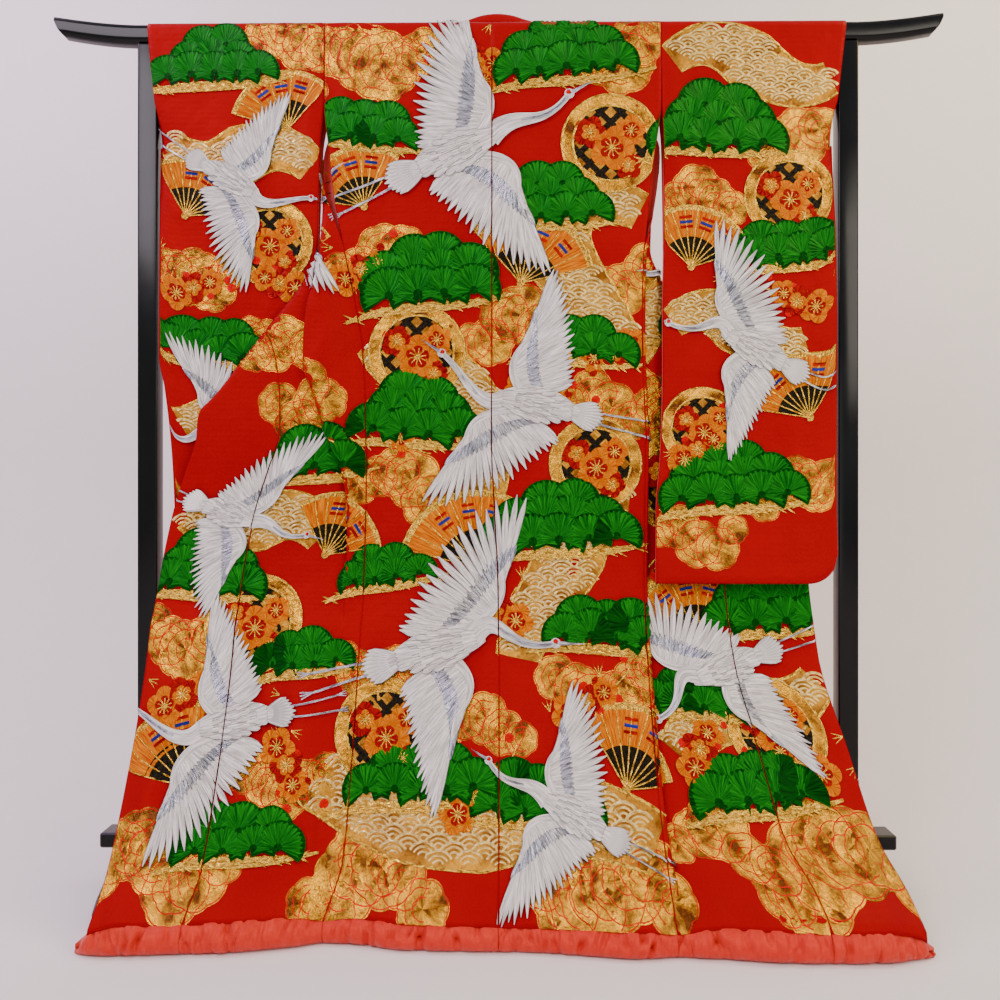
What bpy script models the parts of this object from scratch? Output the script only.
"""Uchikake wedding kimono hung back outwards over a lacquered kimono stand.

Units are metres, +Z is up, and -Y is the side that the back of the garment faces.
The garment lies over the stand's top rail. Its back hangs down on the near side, its
fronts hang on the far side and swing outwards, and the padded hem trails on the floor.
Heights are from the floor and widths from the middle of the stand, where the rail is
also the plane that depths are measured from, until everything is set back by REST_Y.
"""
import math

import bpy
import numpy as np

# Sizes of the cloth
CLOTH = 0.0020
COLLAR_EXTRA = 0.0010
SEAM = 0.00035
SLANT_SEAM = 0.0026
FIT = 0.0003
DRAPE = 0.0005

# Sizes of the stand
RAIL_HALF = 0.019
RAIL_TOP = 1.6347
RAIL_ROUND = 0.012
RAIL_REACH = 0.845
RAIL_CURVE_START = 0.680
RAIL_CURVE_RISE = 0.018
POST_SIDE = 0.038
POST_ACROSS = 0.665
RING_LOW = 0.183
RING_HIGH = 0.198
RING_PROUD = 0.0006
BOARD_LOW = 0.0680
BOARD_HEIGHT = 0.0285
BOARD_DEPTH = 0.061
BOARD_REACH = 0.752
FOOT_WIDTH = 0.050
FOOT_REACH = 0.230
EDGE_ROUND = 0.003

# The part's origin is under the middle of its box, and the rail stands this far behind it
HEM_FRONT = 0.3885
REST_Y = (HEM_FRONT - FOOT_REACH) / 2

# Sizes of the cut
ARMHOLE_LOW = 1.470
SLIT_LOW = 1.200
SEWN_ABOVE = 0.022
OKUMI_TOP = 1.400
COLLAR_WIDTH = 0.055
COLLAR_LOW = 0.925
NECK_OVER = 2.4
NECK_HUMP = 0.019
NECK_CLEAR = 0.003
SLEEVE_LOW = 0.578
WRIST_LOW = 1.400

# Numbers of steps
BACK_STEPS = 8
FRONT_STEPS = 13
OKUMI_STEPS = 7
COLLAR_STEPS = 3
SLEEVE_STEPS = 7
ARCH_STEPS = 4
TURN_WORTH = math.radians(40)
RUN_WORTH = 0.040
ROW_TURN = math.radians(60)
ROW_RUN = 0.085
BODY_HIGH = 1.6227
BODY_LOW = 0.030


def table(names, rows):
    """Named columns from rows, sorted by the first column."""
    columns = np.array(sorted(rows), dtype=float).T
    return dict(zip(names.split(), columns))


def smooth(values, column, at):
    """Smooth value of a column: cubic pieces whose slopes never overshoot the rows."""
    key = next(iter(values))
    x = values[key]
    y = values[column]
    step = np.diff(x)
    rise = np.diff(y) / step
    slope = np.zeros_like(y)
    same = rise[:-1] * rise[1:] > 0
    weight_a = 2 * step[1:] + step[:-1]
    weight_b = step[1:] + 2 * step[:-1]
    safe_a = np.where(same, rise[:-1], 1.0)
    safe_b = np.where(same, rise[1:], 1.0)
    mean = (weight_a + weight_b) / (weight_a / safe_a + weight_b / safe_b)
    slope[1:-1] = np.where(same, mean, 0.0)
    slope[0] = rise[0]
    slope[-1] = rise[-1]
    at = np.clip(np.asarray(at, dtype=float), x[0], x[-1])
    cell = np.clip(np.searchsorted(x, at, side="right") - 1, 0, len(step) - 1)
    t = (at - x[cell]) / step[cell]
    low, high = y[cell], y[cell + 1]
    out_low, out_high = slope[cell] * step[cell], slope[cell + 1] * step[cell]
    bend = (2 * t**3 - 3 * t**2 + 1) * low + (t**3 - 2 * t**2 + t) * out_low
    return bend + (3 * t**2 - 2 * t**3) * high + (t**3 - t**2) * out_high


def ease(t):
    """Smooth step from 0 to 1."""
    t = np.clip(t, 0.0, 1.0)
    return t * t * (3 - 2 * t)


# How far the hanging cloth stands forward of the rail's middle plane at each height
HANG = table("height forward", [
    (1.6227, 0.0215), (1.5500, 0.0235), (1.3000, 0.0300), (1.0000, 0.0360),
    (0.7500, 0.0450), (0.6000, 0.0640), (0.4500, 0.1040), (0.3200, 0.1560),
    (0.2000, 0.2190), (0.1000, 0.2840), (0.0400, 0.3350),
])
HEM_HOLD = 0.50

# Where the padded hem lies: forward reach of its seam, and its height off the floor
HEM = table("across reach height", [
    (-0.672, 0.350, 0.014), (-0.645, 0.352, 0.034), (-0.600, 0.353, 0.046),
    (-0.530, 0.346, 0.044), (-0.450, 0.342, 0.047), (-0.380, 0.328, 0.047),
    (-0.320, 0.312, 0.045), (-0.281, 0.300, 0.036), (-0.230, 0.303, 0.042),
    (-0.150, 0.325, 0.041), (-0.050, 0.330, 0.039), (0.050, 0.332, 0.038),
    (0.150, 0.345, 0.040), (0.230, 0.356, 0.041), (0.2915, 0.350, 0.036),
    (0.360, 0.354, 0.046), (0.470, 0.368, 0.047), (0.540, 0.370, 0.044),
    (0.620, 0.366, 0.044), (0.668, 0.356, 0.034), (0.700, 0.350, 0.014),
])
HEM_SEAM_FORWARD = 0.010
HEM_HALF_DEPTH = 0.60
HEM_LIFT = 0.0021

CENTRE = table("height across", [
    (1.637, -0.009), (0.850, -0.009), (0.550, 0.004), (0.300, 0.006), (0.030, 0.007),
])
SIDE_LEFT = table("height across", [
    (1.637, -0.3265), (1.470, -0.3265), (1.400, -0.3190), (1.285, -0.3050), (1.200, -0.2880),
    (1.110, -0.2690), (0.990, -0.2510), (0.925, -0.2480), (0.780, -0.2440), (0.580, -0.2450),
    (0.470, -0.2490), (0.270, -0.2530), (0.110, -0.2580), (0.030, -0.2810),
])
SIDE_RIGHT = table("height across", [
    (1.637, 0.3105), (1.470, 0.3105), (1.424, 0.3050), (1.346, 0.2930), (1.231, 0.2817),
    (1.182, 0.2760), (1.038, 0.2736), (0.917, 0.2770), (0.845, 0.2797), (0.690, 0.2770),
    (0.540, 0.2730), (0.385, 0.2757), (0.210, 0.2800), (0.030, 0.2915),
])

# Soft upright waves of the hanging cloth, each a ridge that fades out at both ends
WAVES = table("across lean top bottom width depth", [
    (-0.560, -0.010, 0.62, 0.06, 0.050, 0.008), (-0.400, -0.030, 0.70, 0.06, 0.045, -0.009),
    (-0.330, -0.015, 0.55, 0.06, 0.035, 0.008), (-0.150, -0.020, 1.10, 0.06, 0.060, 0.007),
    (-0.050, 0.010, 1.30, 0.10, 0.045, -0.005), (0.120, 0.015, 1.20, 0.06, 0.060, 0.007),
    (0.200, 0.020, 0.80, 0.06, 0.040, -0.006), (0.380, 0.030, 0.60, 0.06, 0.045, 0.009),
    (0.500, 0.050, 0.50, 0.06, 0.050, -0.009),
])

# The front and the overlap on each side. Widths are along the cloth, fold is where the
# panel rolls back behind itself, and share is how far round the roll its free edge starts
FRONT_LEFT = table("height fold radius share front okumi", [
    (1.6227, -0.3480, 0.0215, 1.00, 0.2395, 0.000),
    (1.5464, -0.3500, 0.0235, 1.00, 0.2390, 0.000),
    (1.4700, -0.3510, 0.0245, 1.00, 0.2380, 0.000),
    (1.4300, -0.3450, 0.0225, 1.00, 0.2370, 0.000),
    (1.4000, -0.3360, 0.0170, 0.80, 0.2360, 0.002),
    (1.3500, -0.3310, 0.0160, 0.46, 0.2350, 0.014),
    (1.2850, -0.3310, 0.0120, 0.20, 0.2340, 0.033),
    (1.2000, -0.3340, 0.0075, 0.00, 0.2320, 0.060),
    (1.1560, -0.3540, 0.0066, 0.00, 0.2320, 0.072),
    (1.0510, -0.4310, 0.0080, 0.00, 0.2320, 0.103),
    (0.9880, -0.4790, 0.0072, 0.00, 0.2320, 0.121),
    (0.9190, -0.5340, 0.0060, 0.00, 0.2320, 0.141),
    (0.8700, -0.5900, 0.0060, 0.00, 0.2320, 0.155),
    (0.6000, -0.9000, 0.0060, 0.00, 0.2320, 0.155),
    (0.4700, -0.9000, 0.0060, 0.00, 0.2300, 0.156),
    (0.1100, -0.9000, 0.0060, 0.00, 0.2260, 0.156),
    (0.0300, -0.9000, 0.0060, 0.00, 0.2190, 0.150),
])
FRONT_RIGHT = table("height fold radius share front okumi", [
    (1.6227, 0.3320, 0.0215, 1.00, 0.2235, 0.000),
    (1.5464, 0.3340, 0.0235, 1.00, 0.2250, 0.000),
    (1.4700, 0.3350, 0.0245, 1.00, 0.2260, 0.000),
    (1.4300, 0.3285, 0.0225, 1.00, 0.2280, 0.000),
    (1.4000, 0.3180, 0.0170, 0.80, 0.2300, 0.002),
    (1.3460, 0.3060, 0.0160, 0.62, 0.2330, 0.015),
    (1.2700, 0.2960, 0.0110, 0.40, 0.2360, 0.037),
    (1.2000, 0.2920, 0.0060, 0.00, 0.2400, 0.060),
    (1.1500, 0.3120, 0.0060, 0.00, 0.2400, 0.074),
    (1.0500, 0.3600, 0.0060, 0.00, 0.2400, 0.103),
    (0.9500, 0.4300, 0.0060, 0.00, 0.2400, 0.131),
    (0.8700, 0.5000, 0.0060, 0.00, 0.2400, 0.155),
    (0.8000, 0.5900, 0.0060, 0.00, 0.2400, 0.156),
    (0.6000, 0.9000, 0.0060, 0.00, 0.2400, 0.156),
    (0.4500, 0.9000, 0.0060, 0.00, 0.2420, 0.158),
    (0.1100, 0.9000, 0.0060, 0.00, 0.2400, 0.158),
    (0.0300, 0.9000, 0.0060, 0.00, 0.2380, 0.156),
])

# Lengthwise tucks: where along the cloth each begins, and how much cloth it takes up
PLEAT_LEFT = table("height at hidden first second", [
    (1.2000, 0.020, 0.0000, 0.0040, 0.0022), (1.1560, 0.050, 0.0060, 0.0045, 0.0022),
    (1.0800, 0.088, 0.0450, 0.0050, 0.0022), (0.9880, 0.104, 0.0700, 0.0052, 0.0022),
    (0.9250, 0.090, 0.0740, 0.0052, 0.0022), (0.8500, 0.066, 0.0700, 0.0052, 0.0024),
    (0.7800, 0.040, 0.0480, 0.0052, 0.0026), (0.7000, 0.030, 0.0240, 0.0050, 0.0030),
    (0.6000, 0.030, 0.0080, 0.0045, 0.0035), (0.5000, 0.030, 0.0000, 0.0045, 0.0035),
])
TUCK_RIGHT = table("height at hidden first second", [
    (1.2000, 0.003, 0.0260, 0.0035, 0.0022), (1.1500, 0.003, 0.0500, 0.0035, 0.0022),
    (1.0500, 0.003, 0.0860, 0.0035, 0.0022), (0.6000, 0.003, 0.0900, 0.0035, 0.0022),
    (0.4500, 0.003, 0.0880, 0.0040, 0.0026), (0.2900, 0.003, 0.0600, 0.0050, 0.0034),
    (0.1500, 0.004, 0.0360, 0.0060, 0.0040), (0.0800, 0.006, 0.0080, 0.0060, 0.0040),
    (0.0500, 0.006, 0.0000, 0.0060, 0.0040),
])

# How far each front stands off the hang of the back, towards the near side
OFF_LEFT = table("height forward", [
    (1.2800, 0.000), (1.2000, 0.018), (1.1560, 0.025), (1.0500, 0.029), (0.8700, 0.024),
    (0.7000, 0.016), (0.5800, 0.008), (0.4500, 0.000),
])
OFF_RIGHT = table("height forward", [
    (1.2700, 0.000), (1.1800, -0.012), (1.0000, -0.013), (0.8000, -0.009),
    (0.6000, -0.003), (0.4500, 0.000),
])
OFF_SPREAD = 0.068

# The sleeves: depth of the near and the far layer, and the outer and inner edges
SLEEVE_LEFT = table("height near far outer inner gape", [
    (1.6227, -0.0215, 0.0215, -0.6640, -0.3269, 0.0430),
    (1.5400, -0.0235, 0.0235, -0.6560, -0.3269, 0.0465),
    (1.4800, -0.0240, 0.0240, -0.6490, -0.3269, 0.0470),
    (1.4550, -0.0242, 0.0230, -0.6440, -0.3285, 0.0380),
    (1.4000, -0.0245, 0.0150, -0.6390, -0.3345, 0.0090),
    (1.2000, -0.0260, -0.0060, -0.6385, -0.3385, 0.0080),
    (1.0000, -0.0265, -0.0140, -0.6380, -0.3420, 0.0080),
    (0.9400, -0.0265, -0.0150, -0.6270, -0.3420, 0.0080),
    (0.8000, -0.0270, -0.0160, -0.6120, -0.3400, 0.0080),
    (0.5780, -0.0300, -0.0210, -0.6020, -0.3400, 0.0080),
])
SLEEVE_RIGHT = table("height near far outer inner gape", [
    (1.6227, -0.0215, 0.0215, 0.6600, 0.3109, 0.0430),
    (1.5400, -0.0235, 0.0235, 0.6500, 0.3109, 0.0465),
    (1.4800, -0.0245, 0.0240, 0.6430, 0.3109, 0.0460),
    (1.4550, -0.0250, 0.0220, 0.6360, 0.3125, 0.0380),
    (1.4000, -0.0265, 0.0120, 0.6320, 0.3150, 0.0090),
    (1.2000, -0.0300, -0.0120, 0.6370, 0.3150, 0.0080),
    (1.1000, -0.0340, -0.0190, 0.6370, 0.3125, 0.0080),
    (0.9500, -0.0420, -0.0290, 0.6340, 0.3110, 0.0080),
    (0.8000, -0.0560, -0.0460, 0.6290, 0.3040, 0.0080),
    (0.7200, -0.0650, -0.0560, 0.6260, 0.2960, 0.0080),
    (0.5780, -0.0870, -0.0790, 0.6220, 0.2925, 0.0080),
])
SLEEVE_CORNER = 0.050
SLEEVE_FLARE = 0.010
GAPE_REACH = 0.060

COLOURS = {
    "red_brocade": ((0.66, 0.004, 0.006), 0.45, 0.0),
    "coral_satin": ((0.62, 0.055, 0.035), 0.40, 0.0),
    "black_lacquer": ((0.006, 0.006, 0.008), 0.12, 0.0),
    "grey_metal": ((0.16, 0.15, 0.13), 0.40, 0.8),
}


def material(name):
    """The material of that name, made the first time it is asked for."""
    made = bpy.data.materials.get(name)
    if made is None:
        colour, roughness, metallic = COLOURS[name]
        made = bpy.data.materials.new(name)
        made.use_nodes = True
        shader = made.node_tree.nodes["Principled BSDF"]
        shader.inputs["Base Color"].default_value = (*colour, 1.0)
        shader.inputs["Roughness"].default_value = roughness
        shader.inputs["Metallic"].default_value = metallic
    return made


def add_solid(name, points, faces, slot):
    """A mesh object of these points and faces, set back so that the origin is central.

    The signed volume says whether the faces point outwards, and if not all are turned.
    """
    placed = np.asarray(points, dtype=float) + (0.0, REST_Y, 0.0)
    volume = 0.0
    for face in faces:
        corners = placed[list(face)]
        for second, third in zip(corners[1:-1], corners[2:]):
            volume += np.dot(corners[0], np.cross(second, third))
    if volume < 0:
        faces = [tuple(face)[::-1] for face in faces]
    mesh = bpy.data.meshes.new(name)
    mesh.from_pydata(placed.tolist(), [], faces)
    mesh.validate()
    mesh.shade_smooth()
    mesh.set_sharp_from_angle(angle=math.radians(40))
    mesh.materials.append(material(slot))
    solid = bpy.data.objects.new(name, mesh)
    bpy.context.scene.collection.objects.link(solid)
    return solid


def grid_normals(points):
    """Unit normals of a grid of points: across the rows times along them."""
    along = np.gradient(points, axis=0)
    across = np.gradient(points, axis=1)
    normals = np.cross(along, across)
    return normals / np.maximum(np.linalg.norm(normals, axis=2, keepdims=True), 1e-12)


def triangles(points, quads):
    """Quads as triangles, each cut along its shorter diagonal."""
    a, b, c, d = (points[quads[:, corner]] for corner in range(4))
    first = (np.linalg.norm(a - c, axis=1) <= np.linalg.norm(b - d, axis=1))[:, None]
    one = np.where(first, quads[:, [0, 1, 2]], quads[:, [0, 1, 3]])
    other = np.where(first, quads[:, [0, 2, 3]], quads[:, [1, 2, 3]])
    return np.concatenate([one, other])


def add_wall(name, points, normals, slot="red_brocade", proud=0.0, thick=CLOTH):
    """A wall of cloth whose outer face is the grid, closed round its edges.

    Both faces are cut into the same triangles, so that they stay parallel.
    """
    rows, columns = points.shape[:2]
    outer = points + proud * normals
    inner = points - thick * normals
    index = np.arange(rows * columns).reshape(rows, columns)
    low, high = index[:-1], index[1:]
    quads = np.stack([low[:, :-1], high[:, :-1], high[:, 1:], low[:, 1:]], axis=-1)
    outside = triangles(points.reshape(-1, 3), quads.reshape(-1, 4))
    inside = outside[:, ::-1] + rows * columns
    rim = np.concatenate([index[:, 0], index[-1, 1:], index[-2::-1, -1], index[0, -2:0:-1]])
    rim_under = rim + rows * columns
    after, after_under = np.roll(rim, -1), np.roll(rim_under, -1)
    edges = np.stack([rim_under, after_under, after, rim], axis=-1)
    faces = outside.tolist() + inside.tolist() + edges.tolist()
    cloud = np.concatenate([outer.reshape(-1, 3), inner.reshape(-1, 3)])
    return add_solid(name, cloud, faces, slot)


def row_heights(side, front, tuck, off):
    """Heights of a body's rows from rail to hem, closer where the cloth's columns turn."""
    fine = np.linspace(BODY_HIGH, BODY_LOW, 700)
    turned = np.array([front_section(side, front, tuck, off, height)[3] for height in fine])
    turning = np.abs(np.diff(turned, axis=0)).max(axis=1)
    effort = np.cumsum(np.minimum(turning, ROW_TURN / 2) / ROW_TURN - np.diff(fine) / ROW_RUN)
    effort = np.concatenate([[0.0], effort])
    count = round(effort[-1])
    return np.interp(np.linspace(0.0, effort[-1], count + 1), effort, fine)


def hem_height(across):
    """Height of the cloth's lower edge where it lies on the padded hem."""
    return 0.967 * smooth(HEM, "height", across) + HEM_LIFT


def hang_points(across, height, off=0.0):
    """Points of the hanging cloth: depth from the hang, waves and the reach of the hem.

    The last row lies on the padded hem, and the rows just above close up to it.
    """
    drop = ease((0.20 - height) / (0.20 - height[-1]))
    lifted = height + drop * (hem_height(across) - height[-1])
    forward = smooth(HANG, "forward", lifted)
    hem_share = ease((HEM_HOLD - lifted) / (HEM_HOLD - hem_height(across)))
    forward_low = smooth(HANG, "forward", hem_height(across))
    forward = forward + hem_share * (smooth(HEM, "reach", across) - forward_low)
    for middle, lean, top, bottom, width, depth in zip(*WAVES.values()):
        share = np.clip((top - lifted) / (top - bottom), 0.0, 1.0)
        strength = np.sin(np.pi * share) ** 2 + 0.4 * ease(share * 2) * (1 - ease(share * 2 - 1))
        place = middle + lean * share
        forward = forward + depth * strength * np.exp(-((across - place) / width) ** 2)
    return np.stack([across, -(forward + off), lifted], axis=-1)


def arch(place, standoff=0.0):
    """Depth and height over the rail, and the outward direction in depth and height.

    Place runs from -4, level with the rail's near side, through 0, the middle of its top,
    to 4: one step of flat top each way from the middle, then 30 degrees of corner a step.
    """
    place = np.asarray(place, dtype=float)
    angle = np.radians(90 + 30 * np.sign(place) * np.maximum(np.abs(place) - 1, 0))
    reach = RAIL_ROUND + DRAPE + CLOTH + standoff
    flat = (RAIL_HALF - RAIL_ROUND) * np.clip(place, -1, 1)
    depth = flat - reach * np.cos(angle)
    height = RAIL_TOP - RAIL_ROUND + reach * np.sin(angle)
    return depth, height, -np.cos(angle), np.sin(angle)


def over_rail(across, places):
    """Rows that carry a body's columns over the rail, with their outward directions."""
    depth, height, out_depth, out_height = arch(places)
    level = np.zeros((len(places), len(across)))
    points = np.stack([across + level, depth[:, None] + level, height[:, None] + level], axis=-1)
    out = np.stack([level, out_depth[:, None] + level, out_height[:, None] + level], axis=-1)
    return points, out


def back_grid(side, heights):
    """Rows of one half of the back, from the fold on the rail down to the hem."""
    edge = smooth(side, "across", heights)
    centre = smooth(CENTRE, "across", heights)
    toward = np.sign(edge[0])
    edge = edge - toward * SEAM / 2
    centre = centre + toward * SEAM / 2
    share = np.linspace(0.0, 1.0, BACK_STEPS + 1)
    across = edge[:, None] + (centre - edge)[:, None] * share
    body = hang_points(across, heights[:, None] + 0 * across)
    middle = -SEAM / 2 / (RAIL_HALF - RAIL_ROUND)
    over, over_out = over_rail(across[0], np.array([middle, -1.0, -2.0, -3.0]))
    return np.concatenate([over, body]), over_out


def tuck_turns(hidden, at, first, second):
    """Two opposite turns that take up the hidden width, softer where there is little."""
    full = math.pi * (first + second)
    if hidden >= full:
        run = (hidden - full) / 2
        return [(at, math.pi, first), (at + math.pi * first + run, -math.pi, second)]
    angles = np.linspace(0.0, math.pi, 181)
    angle = float(np.interp(hidden, (first + second) * (angles - np.sin(angles)), angles))
    if angle < 0.02:
        return []
    return [(at, angle, first), (at + angle * first, -angle, second)]


def walk(turns, length):
    """Path of a section seen from above, heading outwards and bent by each turn."""
    along = np.linspace(0.0, length, 3000)
    heading = np.zeros_like(along)
    for start, angle, radius in turns:
        heading += angle * np.clip((along - start) / (abs(angle) * radius), 0.0, 1.0)
    step = np.diff(along)
    middle = (heading[1:] + heading[:-1]) / 2
    out = np.concatenate([[0.0], np.cumsum(np.cos(middle) * step)])
    back = np.concatenate([[0.0], np.cumsum(np.sin(middle) * step)])
    effort = np.concatenate([[0.0], np.cumsum(step / RUN_WORTH + np.abs(np.diff(heading)) / TURN_WORTH)])
    return along, out, back, effort, heading


def spread(along, effort, low, high, steps):
    """Places from low to high along a path, closer together where it turns."""
    ends = np.interp([low, high], along, effort)
    places = np.interp(np.linspace(ends[0], ends[1], steps + 1), effort, along)
    places[0], places[-1] = low, high
    return places


def front_section(side, front, tuck, off, height):
    """One height of a front, overlap and collar from side to edge.

    Gives the places across and in depth, the stand-off, and how far each has turned.
    """
    row = {name: float(smooth(front, name, height)) for name in list(front)[1:]}
    fold_tuck = {name: float(smooth(tuck, name, height)) for name in list(tuck)[1:]}
    start = float(smooth(side, "across", height))
    toward = math.copysign(1.0, start)
    taken = fold_tuck["hidden"] * ease((SLIT_LOW + 0.06 - height) / 0.06)
    turns = tuck_turns(taken, fold_tuck["at"], fold_tuck["first"], fold_tuck["second"])
    near_run = max(abs(row["fold"] - start) - row["radius"], 0.0) + taken
    turns.append((near_run, math.pi, row["radius"]))
    begin = row["share"] * (near_run + math.pi * row["radius"])
    front_end = begin + row["front"]
    okumi_end = front_end + row["okumi"]
    along, out, back, effort, heading = walk(turns, okumi_end + COLLAR_WIDTH + 0.01)
    slant = ease((height - 0.80) / 0.06) * ease((OKUMI_TOP + 0.04 - height) / 0.04)
    gap = (SEAM + (SLANT_SEAM - SEAM) * slant) / 2
    parts = [spread(along, effort, begin + SEAM / 2, front_end - gap, FRONT_STEPS)]
    if height <= OKUMI_TOP + 0.001:
        parts.append(spread(along, effort, front_end + gap, okumi_end - gap, OKUMI_STEPS))
    else:
        parts.append(np.full(OKUMI_STEPS + 1, okumi_end))
    parts.append(spread(along, effort, okumi_end + gap, okumi_end + COLLAR_WIDTH, COLLAR_STEPS))
    places = np.concatenate(parts)
    across = start + toward * np.interp(places, along, out)
    depth = np.interp(places, along, back)
    stand_off = float(smooth(off, "forward", height)) * ease(toward * (across - start) / OFF_SPREAD)
    return across, depth, stand_off, np.interp(places, along, heading)


def front_grid(side, front, tuck, off, heights):
    """All rows of one front, its overlap and its collar, from the rail to the hem."""
    sections = [front_section(side, front, tuck, off, height) for height in heights]
    across, depth, stand_off = (np.array(column) for column in list(zip(*sections))[:3])
    body = hang_points(across, heights[:, None] + 0 * across, stand_off)
    body[..., 1] += depth
    middle = SEAM / 2 / (RAIL_HALF - RAIL_ROUND)
    over, over_out = over_rail(across[0], np.array([middle, 1.0, 2.0, 3.0]))
    return np.concatenate([over, body]), over_out


def outward(points, over_out, flip, seams=()):
    """Outward directions of a body grid, those over the rail being known.

    The two columns that meet at a seam share one direction, so their rims are parallel.
    """
    normals = grid_normals(points) * flip
    for column in seams:
        pair = normals[:, column] + normals[:, column + 1]
        pair /= np.maximum(np.linalg.norm(pair, axis=1, keepdims=True), 1e-12)
        normals[:, column] = normals[:, column + 1] = pair
    normals[:ARCH_STEPS] = over_out
    normals[ARCH_STEPS] = (0.0, math.copysign(1.0, over_out[-1, 0, 1]), 0.0)
    return normals


def build_body():
    """Backs, fronts and overlaps, with the hem roll under them and the collar above."""
    collar_sides = []
    hem_rows = {}
    for word, side, front, tuck, off in (
        ("left", SIDE_LEFT, FRONT_LEFT, PLEAT_LEFT, OFF_LEFT),
        ("right", SIDE_RIGHT, FRONT_RIGHT, TUCK_RIGHT, OFF_RIGHT),
    ):
        heights = row_heights(side, front, tuck, off)
        first_okumi = ARCH_STEPS + int(np.argmax(heights <= OKUMI_TOP))
        last_collar = ARCH_STEPS + int(np.sum(heights >= COLLAR_LOW))
        flip = 1 if word == "left" else -1
        back, back_over = back_grid(side, heights)
        fore, fore_over = front_grid(side, front, tuck, off, heights)
        back_out = outward(back, back_over, flip)
        fore_out = outward(fore, fore_over, -flip, (FRONT_STEPS, FRONT_STEPS + OKUMI_STEPS + 1))
        sewn = ARCH_STEPS + int(np.argmax(heights <= SLIT_LOW + SEWN_ABOVE))
        fore_out[sewn:, 0] = back_out[sewn:, 0]
        add_wall("body_back_" + word, back, back_out)
        front_columns = slice(0, FRONT_STEPS + 1)
        okumi_columns = slice(FRONT_STEPS + 1, FRONT_STEPS + OKUMI_STEPS + 2)
        collar_columns = slice(FRONT_STEPS + OKUMI_STEPS + 2, None)
        add_wall("body_front_" + word, fore[:, front_columns], fore_out[:, front_columns])
        okumi = fore[first_okumi:, okumi_columns], fore_out[first_okumi:, okumi_columns]
        add_wall("okumi_" + word, *okumi)
        collar_sides.append((fore[:last_collar, collar_columns], fore_out[:last_collar, collar_columns]))
        hem_rows["back_" + word] = back[-1]
        hem_rows["front_" + word] = fore[-1, front_columns]
        hem_rows["okumi_" + word] = fore[-1, okumi_columns]
    build_collar(collar_sides)
    build_hem(hem_rows)


def neck_rows(left_edge, right_edge):
    """The collar over the rail's far side and round the back of the neck."""
    round_neck = -np.cos(np.linspace(0.0, np.pi, 9))
    places = np.concatenate([[3.0, 2.0, 1.0], 0 * round_neck, [1.0, 2.0, 3.0]])
    middle = np.concatenate([[-1.0] * 3, round_neck, [1.0] * 3])
    step = np.linspace(0.0, 1.0, COLLAR_STEPS + 1)
    seam_across = np.where(middle < 0, left_edge * -middle, right_edge * middle)
    across = seam_across[:, None] * (1 - 0.63 * step)
    to_far = (4.0 - places[:, None]) / 4.0
    spots = places[:, None] + NECK_OVER * to_far * step
    hump = NECK_HUMP * (1 - middle[:, None] ** 2) * np.sin(np.pi * step)
    clear = NECK_CLEAR * to_far * ease(3 * step)
    depth, height, out_depth, out_height = arch(spots, hump + clear)
    points = np.stack([across, depth, height], axis=-1)
    points[:, 0, 1] += np.where(places < 0.5, SEAM, 0.0)
    seam_out = np.stack([0 * places, out_depth[:, 0], out_height[:, 0]], axis=-1)
    return points, seam_out


def build_collar(sides):
    """One long strip: up the left front, round the neck, down the right front."""
    (left, left_out), (right, right_out) = sides
    left_up, left_up_out = left[ARCH_STEPS:][::-1], left_out[ARCH_STEPS:][::-1]
    right_down, right_down_out = right[ARCH_STEPS:], right_out[ARCH_STEPS:]
    neck, seam_out = neck_rows(left_up[-1, 0, 0], right_down[0, 0, 0])
    strip = np.concatenate([left_up, neck, right_down])
    normals = grid_normals(strip)
    normals[:len(left_up)] = left_up_out
    normals[len(left_up):len(left_up) + len(neck), 0] = seam_out
    normals[len(left_up) + len(neck):] = right_down_out
    add_wall("collar", strip, normals, proud=COLLAR_EXTRA)


def closed_normals(points, faces):
    """Unit normal at each point of a mesh, the mean of its faces'."""
    corners = points[faces]
    face_normals = np.cross(corners[:, 2] - corners[:, 0], corners[:, 3] - corners[:, 1])
    normals = np.zeros_like(points)
    for corner in range(4):
        np.add.at(normals, faces[:, corner], face_normals)
    return normals / np.linalg.norm(normals, axis=1, keepdims=True)


def add_bag(name, points, faces, slot="red_brocade"):
    """A wall of cloth behind an open mesh of quads, closed round its open edges."""
    normals = closed_normals(points, faces)
    count = len(points)
    pairs = np.concatenate([faces[:, [k, (k + 1) % 4]] for k in range(4)])
    seen = {(int(a), int(b)) for a, b in pairs}
    rim = [(a, b) for a, b in seen if (b, a) not in seen]
    edges = [(b, a, a + count, b + count) for a, b in rim]
    outside = triangles(points, faces)
    solid = outside.tolist() + (outside[:, ::-1] + count).tolist() + edges
    return add_solid(name, np.concatenate([points, points - CLOTH * normals]), solid, slot)


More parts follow.
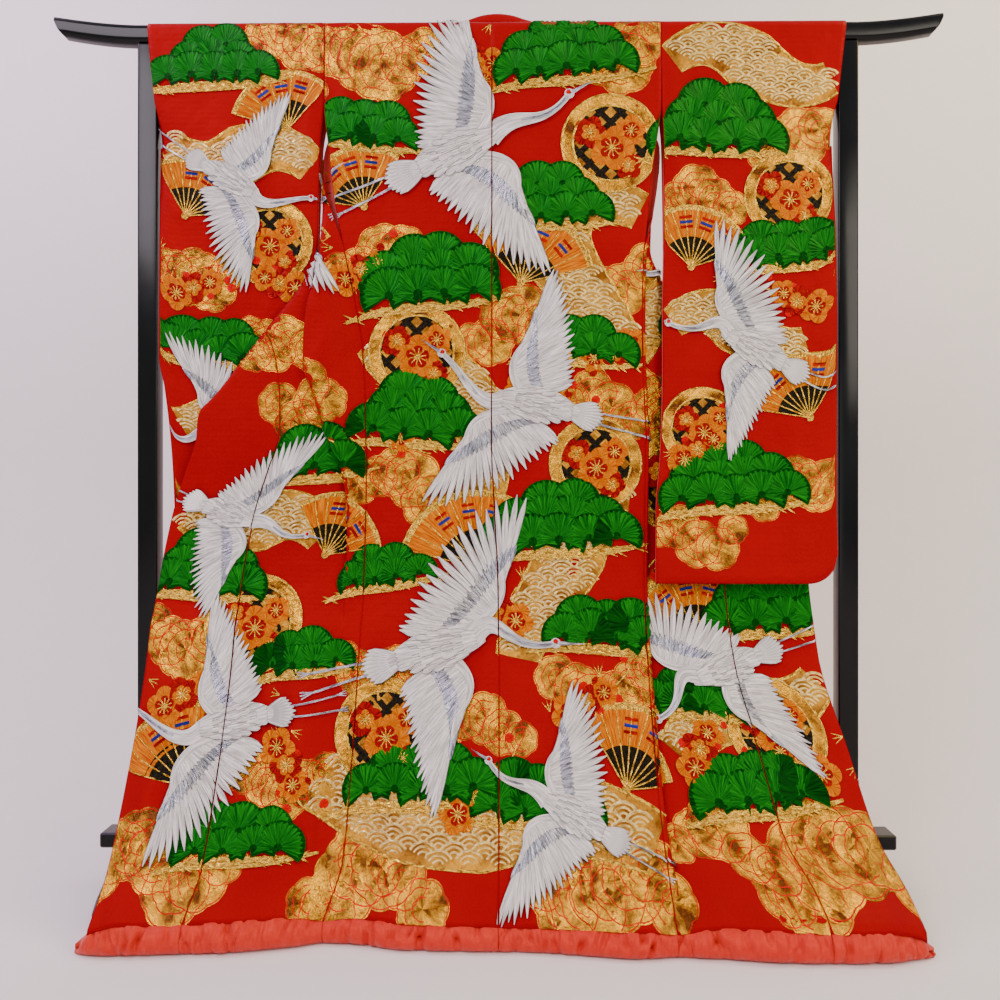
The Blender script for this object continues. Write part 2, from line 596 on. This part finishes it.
def sleeve_mesh(sleeve):
    """A flat tube over the rail, open at wrist and inner edge, sewn below and outside."""
    toward = math.copysign(1.0, sleeve["outer"][0])
    share = 1 - (1 - np.linspace(0.0, 1.0, SLEEVE_STEPS + 1)) ** 1.6
    high = RAIL_TOP - RAIL_ROUND
    levels = np.concatenate([
        [high, 1.54, 1.48, 1.44], np.linspace(WRIST_LOW, SLEEVE_LOW, 10)])
    fall = (high - levels) / (high - SLEEVE_LOW)
    end = float(smooth(sleeve, "outer", SLEEVE_LOW + SLEEVE_CORNER))
    begin = float(smooth(sleeve, "inner", SLEEVE_LOW))
    corner = np.clip(1 - np.abs(end - (begin + (end - begin) * share)) / SLEEVE_CORNER, 0, 1)
    low_edge = SLEEVE_LOW + SLEEVE_CORNER * (1 - np.sqrt(1 - corner**2))
    height = high - fall[:, None] * (high - low_edge)
    outer, inner = smooth(sleeve, "outer", height), smooth(sleeve, "inner", height)
    across = inner + (outer - inner) * share
    near, far = smooth(sleeve, "near", height), smooth(sleeve, "far", height)
    middle = (near + far) / 2
    gape = smooth(sleeve, "gape", height)
    to_edge = np.clip(np.abs(outer - across) / GAPE_REACH, 0, 1)
    half = gape / 2 + ((far - near) / 2 - gape / 2) * np.sqrt(1 - (1 - to_edge) ** 2)
    shut = ease((fall[:, None] - 0.90) / 0.10)
    half = half + (SLEEVE_FLARE / 2 - half) * shut
    near_side = np.stack([across, middle - half, height], axis=-1)
    far_side = np.stack([across, middle + half, height], axis=-1)[::-1]
    bends = np.radians([45, 90, 135])[:, None]
    low_half = half[-1]
    under = np.stack([
        across[-1] + 0 * bends,
        middle[-1] - low_half * np.cos(bends),
        height[-1] - low_half * np.sin(bends),
    ], axis=-1)
    over, over_out = over_rail(across[0], np.array([3.0, 2.0, 1.0, -1.0, -2.0, -3.0]))
    ring = np.concatenate([near_side, under, far_side, over])
    rows, columns = ring.shape[:2]
    index = np.arange(rows * columns).reshape(rows, columns)
    after = np.roll(index, -1, axis=0)
    quads = np.stack([index[:, :-1], after[:, :-1], after[:, 1:], index[:, 1:]], axis=-1)
    sewn_from = 4
    near_ends = index[sewn_from:len(levels), -1]
    far_ends = index[len(levels) + 3:2 * len(levels) + 3 - sewn_from, -1][::-1]
    ends = ring.reshape(-1, 3)
    bulge = (ends[near_ends] + ends[far_ends]) / 2
    bulge[:, 0] += toward * 0.5 * SLEEVE_FLARE * ease(np.linspace(0.3, 1.3, len(bulge)))
    bulge[-1] = (ends[index[len(levels) + 1, -1]] + bulge[-1]) / 2
    first = rows * columns
    ridge = first + np.arange(len(bulge))
    cap_near = np.stack([near_ends[:-1], near_ends[1:], ridge[1:], ridge[:-1]], axis=-1)
    cap_far = np.stack([ridge[:-1], ridge[1:], far_ends[1:], far_ends[:-1]], axis=-1)
    low = [int(index[len(levels) + k, -1]) for k in range(3)]
    cap_low = np.array([
        [near_ends[-1], low[0], low[1], ridge[-1]],
        [ridge[-1], low[1], low[2], far_ends[-1]],
    ])
    points = np.concatenate([ends, bulge])
    caps = np.concatenate([cap_near, cap_far, cap_low])
    faces = quads.reshape(-1, 4)
    faces = faces[:, ::-1] if toward < 0 else faces
    caps = caps if toward < 0 else caps[:, ::-1]
    return points, np.concatenate([faces, caps[:, ::-1]])


def build_sleeves():
    """The two sleeves."""
    for name, sleeve in (("sleeve_left", SLEEVE_LEFT), ("sleeve_right", SLEEVE_RIGHT)):
        points, faces = sleeve_mesh(sleeve)
        add_bag(name, points, faces)


def loft(name, rings, slot):
    """A closed solid through rings of points, capped at both ends."""
    rings = np.asarray(rings)
    count, around = rings.shape[:2]
    index = np.arange(count * around).reshape(count, around)
    after = np.roll(index, -1, axis=1)
    sides = np.stack([index[:-1], index[1:], after[1:], after[:-1]], axis=-1).reshape(-1, 4)
    faces = sides.tolist() + [index[0].tolist(), index[-1][::-1].tolist()]
    return add_solid(name, rings.reshape(-1, 3), faces, slot)


def build_hem(hem_rows):
    """The padded hem roll, one length under each panel and made from its lowest points."""
    angle = np.linspace(0.0, 2 * np.pi, 13)[:-1]
    for word, row in hem_rows.items():
        if row[0, 0] > row[-1, 0]:
            row = row[::-1]
        across, reach = row[:, 0], -row[:, 1]
        tall = (row[:, 2] - HEM_LIFT) / 0.967
        tip = {"okumi_left": HEM["across"][0], "okumi_right": HEM["across"][-1]}.get(word)
        if tip is not None:
            edge = across[0] if tip < 0 else across[-1]
            beyond = edge + (tip - edge) * np.array([0.4, 0.75, 1.0])
            across = np.sort(np.concatenate([across, beyond]))
            reach = smooth(HEM, "reach", across)
            tall = smooth(HEM, "height", across)
        half = HEM_HALF_DEPTH * tall + 0.002
        depth = HEM_SEAM_FORWARD - reach[:, None] - half[:, None] * np.cos(angle)
        rise = np.clip(tall[:, None] / 2 * (1 + 1.04 * np.sin(angle)), 0.0, tall[:, None])
        rings = np.stack([across[:, None] + 0 * depth, depth, rise], axis=-1)
        loft("fuki_" + word, rings, "coral_satin")


def rail_section(steps=3):
    """The rail's section: a square with rounded corners, as depth and height offsets."""
    inset = RAIL_HALF - RAIL_ROUND
    points = []
    for quarter, (y_sign, z_sign) in enumerate(((1, 1), (-1, 1), (-1, -1), (1, -1))):
        for step in range(steps + 1):
            angle = math.radians(90 * (quarter + step / steps))
            points.append((
                y_sign * inset + RAIL_ROUND * math.cos(angle),
                z_sign * inset + RAIL_ROUND * math.sin(angle),
            ))
    return np.array(points)


def build_rail():
    """The top rail, its ends swept up like a roof beam's and cut convex."""
    outline = rail_section()
    straight = np.linspace(-RAIL_CURVE_START, RAIL_CURVE_START, 3)
    end = np.linspace(RAIL_CURVE_START, RAIL_REACH - 0.010, 6)[1:]
    across = np.concatenate([-end[::-1], straight, end])
    beyond = np.clip((np.abs(across) - RAIL_CURVE_START) / (RAIL_REACH - RAIL_CURVE_START), 0, 1)
    lift = RAIL_CURVE_RISE * beyond**1.7
    middle = RAIL_TOP - RAIL_HALF
    rings = []
    for x, up, share in zip(across, lift, beyond):
        lean = math.copysign(0.010 * share**2, x)
        bow = 1 - (outline[:, 1] / RAIL_HALF) ** 2
        tip = math.copysign(0.006, x) * bow if share > 0.9 else 0.0
        rings.append(np.stack([
            x + lean * outline[:, 1] / RAIL_HALF + tip,
            outline[:, 0],
            middle + up + outline[:, 1],
        ], axis=-1))
    loft("top_rail", rings, "black_lacquer")


def add_block(name, low, high, slot, edge_round=EDGE_ROUND):
    """A block between two corners with its edges rounded by a bevel."""
    low, high = np.array(low), np.array(high)
    corners = np.array([[x, y, z] for x in (0, 1) for y in (0, 1) for z in (0, 1)])
    points = low + corners * (high - low)
    faces = [(0, 1, 3, 2), (4, 6, 7, 5), (0, 4, 5, 1), (2, 3, 7, 6), (0, 2, 6, 4), (1, 5, 7, 3)]
    block = add_solid(name, points, faces, slot)
    if edge_round:
        bevel = block.modifiers.new("rounded edges", "BEVEL")
        bevel.width = edge_round
        bevel.segments = 1
    return block


def build_stand():
    """Posts on a long low board that lies on two feet."""
    add_block(
        "lower_board", (-BOARD_REACH, -BOARD_DEPTH / 2, BOARD_LOW + FIT),
        (BOARD_REACH, BOARD_DEPTH / 2, BOARD_LOW + BOARD_HEIGHT), "black_lacquer")
    half = POST_SIDE / 2
    for word, toward in (("left", -1), ("right", 1)):
        middle = toward * POST_ACROSS
        rail_low = RAIL_TOP - 2 * RAIL_HALF
        levels = (
            ("post_foot_", BOARD_LOW + BOARD_HEIGHT + FIT, RING_LOW, half, "black_lacquer"),
            ("post_ring_", RING_LOW + FIT, RING_HIGH, half + RING_PROUD, "grey_metal"),
            ("post_", RING_HIGH + FIT, rail_low - FIT, half, "black_lacquer"),
        )
        for stem, low, high, reach, slot in levels:
            add_block(
                stem + word, (middle - reach, -reach, low), (middle + reach, reach, high),
                slot, 0.0 if stem == "post_ring_" else EDGE_ROUND)
        build_foot("foot_" + word, middle)


def build_foot(name, middle):
    """A foot that runs front to back: level where the board lies, then sloping down."""
    slope = [
        (FOOT_REACH, 0.0), (FOOT_REACH, 0.018), (FOOT_REACH - 0.004, 0.024), (0.208, 0.038),
        (0.175, 0.055), (0.140, BOARD_LOW - 0.001), (0.120, BOARD_LOW),
    ]
    outline = slope + [(-depth, height) for depth, height in reversed(slope)]
    half = FOOT_WIDTH / 2
    rings = [[(x, depth, height) for depth, height in outline] for x in (middle - half, middle + half)]
    foot = loft(name, rings, "black_lacquer")
    bevel = foot.modifiers.new("rounded edges", "BEVEL")
    bevel.width = EDGE_ROUND
    bevel.segments = 1
    bevel.limit_method = "ANGLE"


for old in list(bpy.data.objects):
    bpy.data.objects.remove(old, do_unlink=True)
build_body()
build_sleeves()
build_rail()
build_stand()
